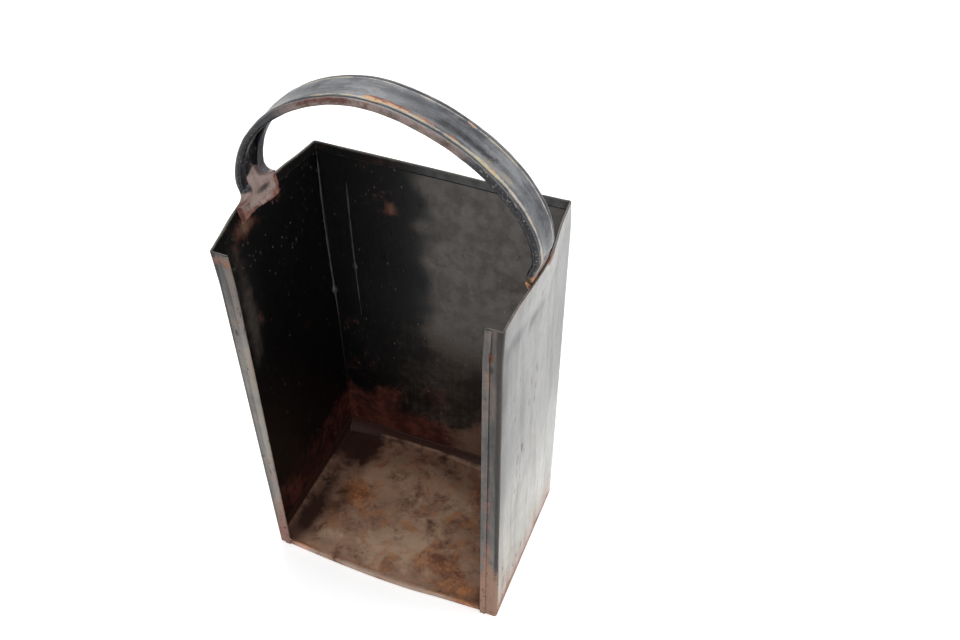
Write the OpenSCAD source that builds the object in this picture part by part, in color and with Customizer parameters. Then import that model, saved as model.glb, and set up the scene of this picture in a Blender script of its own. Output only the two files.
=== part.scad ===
// Open-fronted carrying bucket, folded from sheet metal, with a fixed strap handle.
// Millimetres. +Z is up, the open front faces -Y, and the walls stand on z = 0.
// The three pieces are soldered face to face: no rivet, screw or hinge is used.

/* [Body] */
// Outside width across the side walls
body_w = 203; // [150:1:260]
// Outside depth, from the front returns to the back wall
body_d = 140; // [105:1:190]
// Height of the walls
body_h = 330; // [240:1:420]
// Thickness of the sheet metal
sheet = 0.8; // [0.5:0.1:1.1]
// Outside radius of the upright folds
fold_r = 2.4; // [2.3:0.1:4]
// Width of the edge that turns inwards at each side of the open front
return_w = 13; // [10:1:20]
// Width of the fold that stiffens the top edge, inside the walls
rim_hem = 8; // [5:0.5:12]
// Width of the fold on the front of each return's free edge
edge_hem = 4.5; // [3:0.5:6]

/* [Bent walls] */
// How far the left wall is pulled out at the handle
left_bulge = 11.5; // [0:0.5:16]
// How far the right wall is pulled out at the handle
right_bulge = 5.5; // [0:0.5:16]
// How far below the top edge the bent stretch reaches
bulge_drop = 46; // [30:1:80]
// Distance of the widest place from the front
bulge_at = 62; // [45:1:80]

/* [Floor pan] */
// Height of the floor's upper face above the ground
floor_z = 5.5; // [4:0.5:9]
// Height of the turned-up edges above the floor's upper face
pan_edge = 12.5; // [8:0.5:20]
// Inside radius of the turned-up edges' bend
pan_bend = 3; // [2:0.5:4]
// How far the front lip bows forward in the middle
lip_bow = 4.3; // [2:0.1:8]
// Gap between the front lip and the ground
lip_gap = 0.5; // [0.5:0.1:2]

/* [Handle] */
// Width of the strap over its rolled edges
strap_w = 32; // [24:1:40]
// Diameter of the rolled edges
roll_d = 5.4; // [4:0.2:7]
// How far each rolled edge runs back flat under the strap
roll_back = 5.5; // [3:0.5:7]
// How deeply the strap's middle is dished
strap_dish = 1.2; // [0:0.1:2]
// Distance of the strap's centre line from the front
handle_at = 68; // [55:1:85]
// Height of the handle above the top edge
handle_rise = 103.5; // [80:0.5:140]
// Height of the straight legs above the top edge
leg_h = 15; // [14:1:30]
// How far the left leg stands outside the straight wall
left_lean = 12.6; // [6:0.2:18]
// How far the right leg stands outside the straight wall
right_lean = 5.7; // [2:0.2:14]
// How far the top of the arch lies to the left of the middle
crown_shift = 9.9; // [0:0.1:20]
// Depth of the flat tabs below the top edge
tab_drop = 20; // [14:1:30]

/* [Hidden] */

// film of solder between pieces that lie on each other
solder_gap = 0.2;
// height over which a hem's raw edge steps down to the single sheet
hem_step = 0.4;
// exponent of the arch: 2 is a true ellipse, less draws the shoulders in
arch_power = 1.82;
// exponent of the way a bent wall leans out with height
lean_power = 1.2;
// shares of a leg's height between which the flat tab turns into the rolled strap
leg_from = 0.08;
leg_to = 0.9;
// share of a full roll that is left in a flat tab, so that its radius stays finite
flat_roll = 0.02;
// steps along each piece
wall_steps = 14;
back_steps = 8;
fold_steps = 4;
bulge_steps = 6;
bend_steps = 6;
lip_facets = 180;
arch_steps = 36;
web_steps = 6;
roll_steps = 5;
tab_steps = 3;
leg_steps = 6;

hem_t = 2 * sheet;
hem_z = body_h - rim_hem;
front_y = -body_d / 2;
back_y = body_d / 2;
spring_z = body_h + leg_h;
arch_rise = handle_rise - leg_h;
roll_r = (roll_d - sheet) / 2;
// half the width of the strap's dished middle
web_half = (strap_w - roll_d) / 2;

// the object's own box, which sets the origin at its bottom centre
reach_left = body_w / 2 + max(left_lean + sheet / 2, left_bulge);
reach_right = body_w / 2 + max(right_lean + sheet / 2, right_bulge);
reach_front = body_d / 2 + max(lip_bow, sheet);
reach_back = body_d / 2;

function mix(a, b, t) = a * (1 - t) + b * t;
function ease(t) = let (c = min(1, max(0, t))) c * c * (3 - 2 * c);
function reversed(list) = [for (i = [len(list) - 1 : -1 : 0]) list[i]];

// Places each piece with the origin at the bottom centre of the whole object's box
module in_frame() {
    translate([(reach_left - reach_right) / 2, (reach_front - reach_back) / 2, 0]) children();
}

// One closed skin over the rings of a bent sheet. Each ring runs along one face of the
// sheet and back along the other, so a flat end is a strip of small four-sided faces.
module skin(rings) {
    n = len(rings[0]);
    last = (len(rings) - 1) * n;
    sides = [for (j = [0 : len(rings) - 2], i = [0 : n - 1])
        let (a = j * n + i, b = j * n + (i + 1) % n)
        each [[a, a + n, b], [b, a + n, b + n]]];
    end = [for (i = [0 : n / 2 - 2]) [i, i + 1, n - 2 - i, n - 1 - i]];
    far_end = [for (f = end) [for (i = reversed(f)) last + i]];
    polyhedron(points = [for (ring = rings) each ring], faces = concat(sides, end, far_end));
}

// ---- Body: left wall, back wall, right wall and two front returns, folded from one sheet

// How far a side wall (side = -1 left, 1 right) stands out of its straight line
function lean_out(side, y, z) =
    let (from_front = min(body_d, max(0, y - front_y)),
         share = from_front < bulge_at ? from_front / bulge_at
                                       : (body_d - from_front) / (body_d - bulge_at),
         up = max(0, (z - body_h + bulge_drop) / bulge_drop))
    (side < 0 ? left_bulge : right_bulge) * sin(90 * share) * pow(up, lean_power);

// Wall thickness at a height: two layers in the top hem
function wall_t(z) = z >= hem_z ? hem_t : sheet;

// Half width to a side wall's inner face
function wall_in(side, y, z) = body_w / 2 + lean_out(side, y, z) - wall_t(z);

// Points along one side's sheet, from the free edge of its front return to the middle of
// the back. inset is 0 on the outer face and the wall's thickness on the inner face.
function half_plan(side, z, inset) = concat(
    [for (p = [[return_w, inset > 0 ? 0 : sheet],
               [return_w - edge_hem, inset > 0 ? 0 : sheet],
               [return_w - edge_hem - hem_step, 0]])
        [side * (body_w / 2 - p[0]), front_y - p[1] + inset]],
    [for (i = [0 : fold_steps - 1]) let (a = -90 + 90 * i / fold_steps)
        [side * (body_w / 2 - fold_r + (fold_r - inset) * cos(a)),
         front_y + fold_r + (fold_r - inset) * sin(a)]],
    [for (i = [0 : wall_steps]) let (y = mix(front_y + fold_r, back_y - fold_r, i / wall_steps))
        [side * (body_w / 2 + lean_out(side, y, z) - inset), y]],
    [for (i = [1 : fold_steps]) let (a = 90 * i / fold_steps)
        [side * (body_w / 2 - fold_r + (fold_r - inset) * cos(a)),
         back_y - fold_r + (fold_r - inset) * sin(a)]],
    [for (i = [1 : back_steps / 2 - 1])
        [side * mix(body_w / 2 - fold_r, 0, 2 * i / back_steps), back_y - inset]]);

function body_ring(z) =
    let (outer = concat(half_plan(1, z, 0), [[0, back_y]], reversed(half_plan(-1, z, 0))),
         t = wall_t(z),
         inner = concat(half_plan(1, z, t), [[0, back_y - t]], reversed(half_plan(-1, z, t))))
    [for (p = concat(outer, reversed(inner))) [p[0], p[1], z]];

module body() {
    bend_z = body_h - bulge_drop;
    levels = concat([0, bend_z],
                    [for (i = [1 : bulge_steps]) mix(bend_z, hem_z - hem_step, i / bulge_steps)],
                    [hem_z, body_h]);
    color("#2a2927") in_frame() skin([for (z = levels) body_ring(z)]);
}

// ---- Floor pan: a plate with three edges turned up inside the walls and a front lip

pan_half = body_w / 2 - sheet - solder_gap;
pan_back = back_y - sheet - solder_gap;
pan_front = front_y + sheet + solder_gap;
mouth_half = body_w / 2 - return_w - solder_gap;
lip_r = (mouth_half * mouth_half + lip_bow * lip_bow) / (2 * lip_bow);

// The round nose between the returns, which the lip follows
module lip_outline(inset) {
    intersection() {
        translate([0, front_y - lip_bow + lip_r]) circle(r = lip_r - inset, $fn = lip_facets);
        translate([-mouth_half, front_y - lip_bow]) square([2 * mouth_half, lip_bow + return_w]);
    }
}

// Section of a turned-up edge: x = 0 is the outer face, z = 0 the plate's underside
module edge_section() {
    outer_r = pan_bend + sheet;
    arc = [for (i = [0 : bend_steps]) 180 + 90 * i / bend_steps];
    polygon(concat(
        [[0, pan_edge + sheet]],
        [for (a = arc) [outer_r + outer_r * cos(a), outer_r + outer_r * sin(a)]],
        [for (a = reversed(arc)) [outer_r + pan_bend * cos(a), outer_r + pan_bend * sin(a)]],
        [[sheet, pan_edge + sheet]]));
}

module floor_pan() {
    bend = pan_bend + sheet;
    side_start = front_y + fold_r + solder_gap;
    side_run = pan_back - bend - side_start;
    color("#6b4a36") in_frame() translate([0, 0, floor_z - sheet]) {
        linear_extrude(sheet) {
            translate([-pan_half + bend, pan_front])
                square([2 * (pan_half - bend), pan_back - pan_front - bend]);
            lip_outline(0);
        }
        translate([0, 0, lip_gap + sheet - floor_z])
            linear_extrude(floor_z - lip_gap - sheet) difference() {
                lip_outline(0);
                lip_outline(sheet);
                translate([-body_w, front_y + sheet]) square([2 * body_w, return_w]);
            }
        for (side = [0, 1]) mirror([side, 0, 0])
            translate([-pan_half, side_start + side_run, 0])
                rotate([90, 0, 0]) linear_extrude(side_run) edge_section();
        translate([-pan_half + bend, pan_back, 0])
            rotate([90, 0, 90]) linear_extrude(2 * (pan_half - bend)) mirror([1, 0]) edge_section();
    }
}

// ---- Handle: one strap with both edges rolled under, unrolled into flat tabs at its ends

// Middle line of half the section, from the strap's centre out: [across, outwards].
// rolled = 0 is the flat tab and 1 the finished strap. The edge always has the same
// length: as it unrolls, it is an arc of a larger radius over a smaller angle.
function section_half(rolled) =
    let (share = max(rolled, flat_roll), r = roll_r / share, turn = 180 * share)
    concat(
        [for (i = [0 : web_steps])
            [web_half * i / web_steps, -rolled * strap_dish * (1 + cos(180 * i / web_steps)) / 2]],
        [for (i = [1 : roll_steps]) let (a = turn * i / roll_steps)
            [web_half + r * sin(a), -r * (1 - cos(a))]],
        [[web_half + r * sin(turn) + roll_back * cos(turn),
          -r * (1 - cos(turn)) - roll_back * sin(turn) + rolled * sheet / 2]]);

function section_line(rolled) =
    let (half = section_half(rolled))
    concat([for (i = [len(half) - 1 : -1 : 1]) [-half[i][0], half[i][1]]], half);

// The middle line thickened by half a sheet to each side
function section_ring(rolled) =
    let (line = section_line(rolled), last = len(line) - 1,
         normals = [for (i = [0 : last])
             let (d = line[min(last, i + 1)] - line[max(0, i - 1)]) [-d[1], d[0]] / norm(d)],
         face = function(half_t) [for (i = [0 : last]) line[i] + normals[i] * half_t])
    concat(face(sheet / 2), reversed(face(-sheet / 2)));

// Outer line of the arch in the plane of the handle, at an angle from the right
function arch_point(a) =
    let (mid = -crown_shift,
         span = cos(a) < 0 ? body_w / 2 + left_lean - crown_shift
                           : body_w / 2 + right_lean + crown_shift)
    [mid + span * sign(cos(a)) * pow(abs(cos(a)), 2 / arch_power),
     spring_z + arch_rise * pow(max(0, sin(a)), 2 / arch_power)];

function arch_ring(i) =
    let (a = 180 - 180 * i / arch_steps, step = 90 / arch_steps,
         d = arch_point(max(0, a - step)) - arch_point(min(180, a + step)),
         out = i == 0 ? [-1, 0] : i == arch_steps ? [1, 0] : [-d[1], d[0]] / norm(d),
         c = arch_point(a), y0 = front_y + handle_at)
    [for (p = section_ring(1)) [c[0] + out[0] * p[1], y0 + p[0], c[1] + out[1] * p[1]]];

// A ring of a tab or leg at a height, for one side. It lies on the wall's inner face as
// that is at wall_z, and above the top edge it leans over to meet the arch.
function foot_ring(side, z, wall_z) =
    let (y0 = front_y + handle_at,
         arch_x = body_w / 2 + (side < 0 ? left_lean : right_lean),
         share = ease(((z - body_h) / leg_h - leg_from) / (1 - leg_from)))
    [for (p = section_ring(share))
        let (on_wall = wall_in(side, y0 + p[0], wall_z) - solder_gap - sheet / 2)
        [side * (mix(on_wall, arch_x, share) + p[1]), y0 + p[0], z]];

// Heights of a foot's rings, each with the height on the wall that it lies against. Just
// below the hem the tab steps inwards, so that it passes over the hem's raw edge.
function foot_levels() =
    let (joggle_z = hem_z - hem_step - solder_gap)
    concat(
        [for (i = [0 : tab_steps])
            let (z = mix(body_h - tab_drop, joggle_z - hem_step, i / tab_steps)) [z, z]],
        [[joggle_z, hem_z], [hem_z, hem_z], [body_h, body_h]],
        [for (i = [0 : leg_steps])
            [body_h + leg_h * mix(leg_from, leg_to, i / leg_steps), body_h]]);

module handle() {
    levels = foot_levels();
    color("#4a4d52") in_frame() skin(concat(
        [for (v = levels) foot_ring(-1, v[0], v[1])],
        [for (i = [0 : arch_steps]) arch_ring(i)],
        [for (v = reversed(levels)) foot_ring(1, v[0], v[1])]));
}

body();
floor_pan();
handle();
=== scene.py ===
import bpy
import numpy as np
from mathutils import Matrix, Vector


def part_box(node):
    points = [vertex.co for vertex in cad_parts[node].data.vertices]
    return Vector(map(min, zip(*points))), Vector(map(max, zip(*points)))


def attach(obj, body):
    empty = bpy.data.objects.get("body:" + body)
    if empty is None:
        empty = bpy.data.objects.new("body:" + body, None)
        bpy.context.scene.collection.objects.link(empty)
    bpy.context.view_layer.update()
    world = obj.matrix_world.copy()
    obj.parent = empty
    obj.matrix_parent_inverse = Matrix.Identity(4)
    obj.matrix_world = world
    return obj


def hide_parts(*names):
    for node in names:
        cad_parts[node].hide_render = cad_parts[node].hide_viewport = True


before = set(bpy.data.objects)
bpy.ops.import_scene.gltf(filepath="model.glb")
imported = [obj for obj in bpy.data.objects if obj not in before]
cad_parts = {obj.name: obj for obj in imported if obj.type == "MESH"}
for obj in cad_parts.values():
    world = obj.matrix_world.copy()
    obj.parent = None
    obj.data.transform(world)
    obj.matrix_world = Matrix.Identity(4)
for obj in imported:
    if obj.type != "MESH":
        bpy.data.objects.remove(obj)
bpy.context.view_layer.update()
MM = 0.001
body_lo, body_hi = (np.array(corner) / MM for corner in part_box("body"))
pan_lo, pan_hi = (np.array(corner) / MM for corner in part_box("floor_pan"))
print("body in mm", body_lo.round(2), body_hi.round(2))

# %% [markdown]
# ## Sizes
# All shapes are worked out in millimetres in the body's own terms: x from the middle of
# the open front, y back from the front plane, z up from the ground. They could be typed in
# as finished coordinates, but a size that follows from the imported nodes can't drift away
# from them. The rest are the sheet metal worker's choices: the sheet's thickness, the
# solder's thickness at the pan and the tabs, the fold radii and the hem widths.
# %% Sizes of the sheet metal work
SHEET = 0.8
PAN_GAP, TAB_GAP = 0.2, 0.1
WALL_HALF = (pan_hi[0] - pan_lo[0]) / 2 + SHEET + PAN_GAP
MIDDLE_X = (pan_hi[0] + pan_lo[0]) / 2
FRONT_Y = body_lo[1] + SHEET
DEPTH = body_hi[1] - FRONT_Y
HEIGHT = body_hi[2]
FLOOR_Z = 5.5
FOLD_R, HEM_R = 2.0, 0.45
RIM_HEM, EDGE_HEM = 8.0, 4.5
print("walls", round(2 * WALL_HALF, 2), "x", round(DEPTH, 2), "x", round(HEIGHT, 2), "mm")


def to_frame(points):
    """Body millimetres to frame metres: each point is moved by the place of the open front
    and scaled."""
    return (np.asarray(points) + [MIDDLE_X, FRONT_Y, 0.0]) * MM


# %% [markdown]
# ## Helpers for sheet metal
# Dents, bulges and patches of wear have no sharp ends on real metal. They could be pushed
# into a mesh by hand with a soft brush, but a brush leaves nothing that can be read or
# changed later. So they are built from four plain curves, each of which works on a whole
# array of points at once.
# %% Smooth steps, bumps and waves as whole arrays
def smooth(t):
    """Eases t from 0 to 1: three t squared less two t cubed, with t held between 0 and 1."""
    t = np.clip(t, 0.0, 1.0)
    return t * t * (3.0 - 2.0 * t)


def bump(t, centre, width):
    """A bell curve of height 1: e to the minus of the distance over the width, squared."""
    return np.exp(-(((t - centre) / width) ** 2))


def through(t, points):
    """A smooth curve through a few (place, value) pairs. Each span is a cubic whose slopes
    at the ends are those between the neighbouring points."""
    place, value = np.array(points, float).T
    slope = np.gradient(value, place)
    k = np.clip(np.searchsorted(place, t) - 1, 0, len(place) - 2)
    span = place[k + 1] - place[k]
    u = np.clip((t - place[k]) / span, 0.0, 1.0)
    start, rise = value[k], value[k + 1] - value[k]
    m0, m1 = slope[k] * span, slope[k + 1] * span
    return start + u * m0 + u**2 * (3 * rise - 2 * m0 - m1) + u**3 * (m0 + m1 - 2 * rise)


def waves(a, b, size, seed, count=9):
    """Gentle dents in a sheet: a sum of sine waves over (a, b) with seeded directions and
    phases, whose wavelengths lie around size. The result has a spread of about 1."""
    pick = np.random.default_rng(seed)
    total = 0.0
    for turn, phase, stretch in pick.uniform(0.0, 1.0, (count, 3)):
        length = size * (0.6 + 1.1 * stretch)
        along = a * np.cos(2 * np.pi * turn) + b * np.sin(2 * np.pi * turn)
        total = total + np.sin(2 * np.pi * (along / length + phase))
    return total / np.sqrt(count / 2)


# %% [markdown]
# Everything on this object is one thin sheet bent in different ways. A Solidify modifier
# could give a surface its thickness, but it gives both faces the same values, and here the
# inside and the outside have worn differently. So one helper takes the middle surface of a
# sheet as a grid of points, moves the grid half a sheet to each side, and closes the rim.
# Cells can be left out of the grid, which is how a maker notches a corner before folding.
# %% A closed sheet from its middle surface
def add_piece(name, points, faces):
    """A piece whose object stays at the origin, because its place is in its mesh."""
    mesh = bpy.data.meshes.new(name)
    mesh.from_pydata(points, [], faces)
    mesh.shade_smooth()
    piece = bpy.data.objects.new(name, mesh)
    bpy.context.scene.collection.objects.link(piece)
    print(name, len(points), "points,", len(faces), "faces")
    return piece


def sheet_piece(name, middle, fields, keep=None):
    """Turns a grid of points, the middle surface of a sheet, into a closed piece. The normal
    at a point is the cross product of the grid's two directions there. One face lies half a
    sheet along the normal, and the other half a sheet against it. Cells where keep is False
    are left out, and every edge that then has only one face is joined to its twin on the
    other side. fields are values at each point for the materials to read, each as a pair of
    grids, one for either face."""
    rows, columns = middle.shape[:2]
    count = rows * columns
    normal = np.cross(np.gradient(middle, axis=0), np.gradient(middle, axis=1))
    normal /= np.maximum(np.linalg.norm(normal, axis=2, keepdims=True), 1e-12)
    front = middle + normal * SHEET / 2
    back = middle - normal * SHEET / 2
    index = np.arange(count).reshape(rows, columns)
    cells = np.stack([index[:-1, :-1], index[1:, :-1], index[1:, 1:], index[:-1, 1:]], axis=2)
    cells = cells.reshape(-1, 4) if keep is None else cells[keep]
    edges = np.stack([cells, np.roll(cells, -1, axis=1)], axis=2).reshape(-1, 2)
    lone = edges[~np.isin(edges[:, 0] * count + edges[:, 1], edges[:, 1] * count + edges[:, 0])]
    rim = np.column_stack([lone[:, 1], lone[:, 0], lone[:, 0] + count, lone[:, 1] + count])
    faces = np.concatenate([cells, cells[:, ::-1] + count, rim])
    used, faces = np.unique(faces, return_inverse=True)
    points = to_frame(np.concatenate([front.reshape(-1, 3), back.reshape(-1, 3)]))[used]
    piece = add_piece(name, points, faces.reshape(-1, 4).tolist())
    for field, (on_front, on_back) in fields.items():
        value = np.concatenate([np.ravel(on_front), np.ravel(on_back)])[used]
        stored = piece.data.attributes.new(field, "FLOAT", "POINT")
        stored.data.foreach_set("value", value.astype(np.float32))
    return piece


# %% [markdown]
# ## The body
# The body is one sheet: left return, left wall, back, right wall and right return. It is
# folded upright at four corners, and then its top edge is turned in all round and the free
# edge of each return is turned back on its front. It could be a box with its sides pushed
# about, but then its folds, hems and bulges would all be separate work. Here a grid follows
# the metal instead: rows run along the sheet from one free edge to the other, and columns
# run up the wall, over the top and down the hem.
# The handle has tugged the side walls outwards, so their bulge comes first, as a function
# of place that the body and the handle's tabs can share.
# %% How the side walls lean out
def rim_out(side, y):
    """How far the top edge stands outside the straight wall, at a distance from the front.
    The left wall is pulled out furthest, at the handle."""
    left = through(y, [(0, 1.5), (18, 5.0), (40, 9.4), (62, 11.3), (74, 9.6), (88, 7.4),
                       (101, 6.2), (118, 3.0), (140, 0.0)])
    right = through(y, [(0, 1.3), (27, 1.8), (48, 3.7), (76, 5.0), (89, 4.1), (111, 1.1),
                        (140, -1.2)])
    return np.where(side < 0, left, right)


def crease_depth(side, y):
    """How far below the top edge the wall starts to lean out: a swag that is deepest in the
    middle of the wall."""
    left = through(y, [(0, 30), (30, 44), (70, 48), (110, 42), (140, 30)])
    right = through(y, [(0, 30), (14, 33), (29, 38), (50, 45), (90, 47), (113, 31), (140, 26)])
    return np.where(side < 0, left, right)


def lean_out(side, y, z):
    """How far a side wall stands outside its straight line: nothing below the crease, and
    above it the rim's distance times a power of the height over the crease."""
    depth = crease_depth(side, np.clip(y, 0.0, DEPTH))
    above = np.clip((z - HEIGHT + depth) / depth, 0.0, 1.0)
    return rim_out(side, np.clip(y, 0.0, DEPTH)) * above**1.12


# %% [markdown]
# Seen from above, the folded sheet is one line with round corners. The left half mirrors
# the right one, apart from the returns, which were bent by eye and differ in width. So
# half the line is worked out, and the return's width is added later, where the side and
# the height are known.
# %% The line of the folded sheet, seen from above
BACK, FOLD, WALL, RETURN, HEM = range(5)


def return_width(side, z):
    """Width of the turned-in front edge, which isn't quite even."""
    share = z / HEIGHT
    return np.where(side < 0, 10.3 + 3.7 * share, 14.0 - 2.0 * share)


def arc(centre_x, centre_y, radius, start, end, steps):
    """Points on an arc: centre plus radius times the cosine and sine of the angle."""
    a = np.radians(np.linspace(start, end, steps))
    return centre_x + radius * np.cos(a), centre_y + radius * np.sin(a)


def half_plan():
    """Middle line of half the folded sheet, from the middle of the back to the raw edge of
    the return's hem. x is measured from the wall's outer face, negative inwards. The share
    says how much of the return's width is added to it. The panel names the stretch."""
    r, t = FOLD_R, SHEET / 2
    across = np.linspace(0.0, 1.0, 11)[1:]
    past_edge = np.array([0.6, 1.5, 2.4, 3.2, 3.8, EDGE_HEM - HEM_R])
    parts = [
        (BACK, np.linspace(-WALL_HALF, -r, 46)[:-1], np.full(45, DEPTH - t), 0),
        (FOLD, *arc(-r, DEPTH - r, r - t, 90, 0, 7), 0),
        (WALL, np.full(60, -t), np.linspace(DEPTH - r, r, 62)[1:-1], 0),
        (RETURN, *arc(-r, r, r - t, 0, -90, 7), 0),
        (RETURN, (across - 1) * r + across * HEM_R, np.full(10, t), across),
        (HEM, *(v[1:] for v in arc(HEM_R, t - HEM_R, HEM_R, 90, 270, 8)), 1),
        (HEM, HEM_R + past_edge, np.full(6, t - 2 * HEM_R), 1),
    ]
    panel = np.concatenate([np.full(len(x), name) for name, x, y, share in parts])
    x, y = (np.concatenate([part[k] for part in parts]) for k in (1, 2))
    share = np.concatenate([np.broadcast_to(share, len(x)) for name, x, y, share in parts])
    return panel, x, y, share


# %% [markdown]
# The upright profile is the same everywhere: up the wall, round a half turn and down the
# hem. The hem of the top edge and the hem of the return's free edge can't both exist in
# the same place, so the cells where they would meet are left out, which is the notch that
# the maker snips before folding.
# %% Up the wall, over the top and down the hem
def upright_profile():
    """Heights up the wall, and the distance inwards that the top hem has there. The turn is a
    half circle, so its height and distance are a sine and a cosine."""
    top = HEIGHT - SHEET / 2 - HEM_R
    crease = HEIGHT - 52.0
    wall = np.concatenate([[0.02, 0.7], np.linspace(2.0, crease, 74), np.linspace(crease, top, 26)[1:]])
    turn = np.radians(np.linspace(0.0, 180.0, 9)[1:])
    down = np.linspace(top, HEIGHT - RIM_HEM, 7)[1:]
    height = np.concatenate([wall, top + HEM_R * np.sin(turn), down])
    inwards = np.concatenate([0 * wall, HEM_R * (1 - np.cos(turn)), np.full(6, 2 * HEM_R)])
    return height, inwards, np.arange(len(height)) >= len(wall)


half = half_plan()
half_points = len(half[0])
# the two halves share the middle of the back, so the right one starts a point later
panel, plan_x, plan_y, wider = (np.concatenate([v[::-1], v[1:]])[:, None] for v in half)
side = np.concatenate([np.full(half_points, -1.0), np.full(half_points - 1, 1.0)])[:, None]
height_at, hem_in, in_top_hem = upright_profile()
z = height_at[None, :]
print("body grid", len(side), "x", len(height_at))


# %% [markdown]
# The line and the profile meet in one grid of points. The dents are put in here, on the
# middle surface, so that both faces and every fold follow them, as they do on real sheet.
# %% The bent sheet
def plan_normal(points):
    """Unit normals of a line seen from above, towards the inside of the box: each step along
    the line, turned a quarter to the right."""
    step = np.gradient(points[..., :2], axis=0)
    step /= np.linalg.norm(step, axis=-1, keepdims=True)
    return np.stack([step[..., 1], -step[..., 0]], axis=-1)


def body_surface():
    """Middle surface of the body. A point's x is the wall's outer face plus its own distance
    inwards, and the side walls lean out above the crease. The top hem is set in along the
    plan's normal, and slow waves dent the panels where no fold holds them straight."""
    reach = plan_x - wider * return_width(side, z)
    x = side * (WALL_HALF + reach + lean_out(side, plan_y, z))
    points = np.stack(np.broadcast_arrays(x, plan_y, z), axis=2)
    inward = plan_normal(points[:, :1]) + 0 * x[..., None]
    calm = smooth((z - 13) / 40) * smooth((HEIGHT - z - 24) / 30)
    gentle = np.clip(waves(x, z, 120, 3), -1, 1)
    back_dent = 0.35 * (1 + gentle) * (panel == BACK) * smooth((WALL_HALF - abs(x)) / 20)
    middle = smooth(plan_y / 12) * smooth((DEPTH - plan_y) / 12)
    wall_dent = 0.3 * waves(plan_y + 150 * side, z, 95, 8) * (panel == WALL) * middle
    pushed = 1.0 * bump(x, 58, 34) * (panel == BACK) * smooth((z - HEIGHT + 60) / 60)
    inset = hem_in + (back_dent + wall_dent) * calm + pushed
    points[..., :2] += inward * inset[..., None]
    return points


body_middle = body_surface()
cell_in_hem = (panel[:-1] == HEM) | (panel[1:] == HEM)
body_keep = ~(cell_in_hem & in_top_hem[None, 1:])
print("body x from", body_middle[..., 0].min().round(2), "to", body_middle[..., 0].max().round(2))

# %% [markdown]
# ### Where the body is rusty, dusty and bare
# Rust starts where water stands and where paint is rubbed through: along the floor, at the
# folds, and where the handle is soldered on. These places could be painted on a picture
# that is wrapped round the piece. Here they are worked out once for each point of the
# sheet and stored on it, so a material can read them and break them up with its own fine
# noise, and nothing blurs when the piece is seen close up.
# %% Soft patches, and the panels that they lie on
on_back, on_wall = panel == BACK, (panel == WALL) | (panel == FOLD)
on_left, on_right = on_wall & (side < 0), on_wall & (side > 0)
on_return, on_strip = panel == RETURN, panel == HEM


def blob(a, b, at, size):
    """A soft patch: a bell curve in two directions at once."""
    return bump(a, at[0], size[0]) * bump(b, at[1], size[1])


def patches(a, b, *each):
    """Soft patches added up, each given as its strength, place and size."""
    return sum(strength * blob(a, b, at, size) for strength, at, size in each)


# %% [markdown]
# The inner faces were sheltered, so their enamel is still black. Rust has climbed from the
# floor, highest at the left. A pale haze lies on the right half of the back: thin dust, and
# partly a painted reflection of the room on the glossy enamel. Dust has also run down the
# front half of the left wall.
# %% Wear on the inner faces
def wear_inside(x, y, up):
    """Each field is a sum of soft steps and patches, kept to its own wall. The rust's upper
    line wanders with a slow wave, and so does the edge of the haze, which is partly a
    painted reflection."""
    down, uneven = HEIGHT - up, waves(x + y, up, 60, 5)
    knock, chafed = (-41, 283), (46, 14)
    rust = on_back * (0.46 + 0.2 * smooth((20 - x) / 90)) * smooth((90 - up + 14 * uneven) / 66)
    rust += on_back * (0.05 * smooth((190 - up) / 60) + 0.55 * blob(x, up, knock, (6, 8)))
    rust += on_back * 0.5 * blob(x, down, (-96, 3), (8, 8)) + on_left * 0.54 * smooth((84 - up) / 60)
    rust += on_left * patches(y, down, (0.42, chafed, (12, 8)), (0.19, (32, 44), (9, 30)),
                              (0.1, (84, 12), (14, 8)))
    rust += on_right * (0.6 * smooth((50 - up) / 40) + 0.6 * blob(y, down, (60, 8), (30, 12)))
    warm = on_back * 0.95 * smooth((x + 30) / 80) * smooth((100 - up) / 50)
    warm += on_back * 0.7 * blob(x, up, knock, (14, 16)) + on_left * 0.5 * blob(y, down, chafed, (14, 8))
    # painted reflection: the haze lifts the pale film on the right half of the back, partly in place of the
    # room's reflection
    haze_and_reflection = smooth((x + 32 + 6 * uneven + 3 * waves(x, up, 22, 6)) / 36)
    film = on_back * (0.09 + 0.8 * haze_and_reflection * smooth((up - 95) / 90)) + 0.05
    film += on_back * 0.36 * smooth((x + 90) / 90) * smooth((190 - up) / 90)
    film -= on_back * 0.42 * blob(x, up, (50, 120), (30, 26))
    film += on_left * (0.62 * blob(y, down, (25, 76), (10, 62)) + 0.3 * blob(y, up, (14, 40), (14, 70)))
    pits = 0.35 + on_left * (0.3 + 0.75 * blob(y, down, (24, 60), (18, 60)))
    pits = pits + 0.3 * on_back * smooth(-x / 60)
    gloss = on_back * (0.08 + 0.50 * haze_and_reflection * smooth((up - 80) / 90)) + 0.3 * on_right + 0.02
    return {"rust": rust, "warm": warm, "film": film, "pits": pits, "gloss": gloss, "inner": 1.0}
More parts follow.
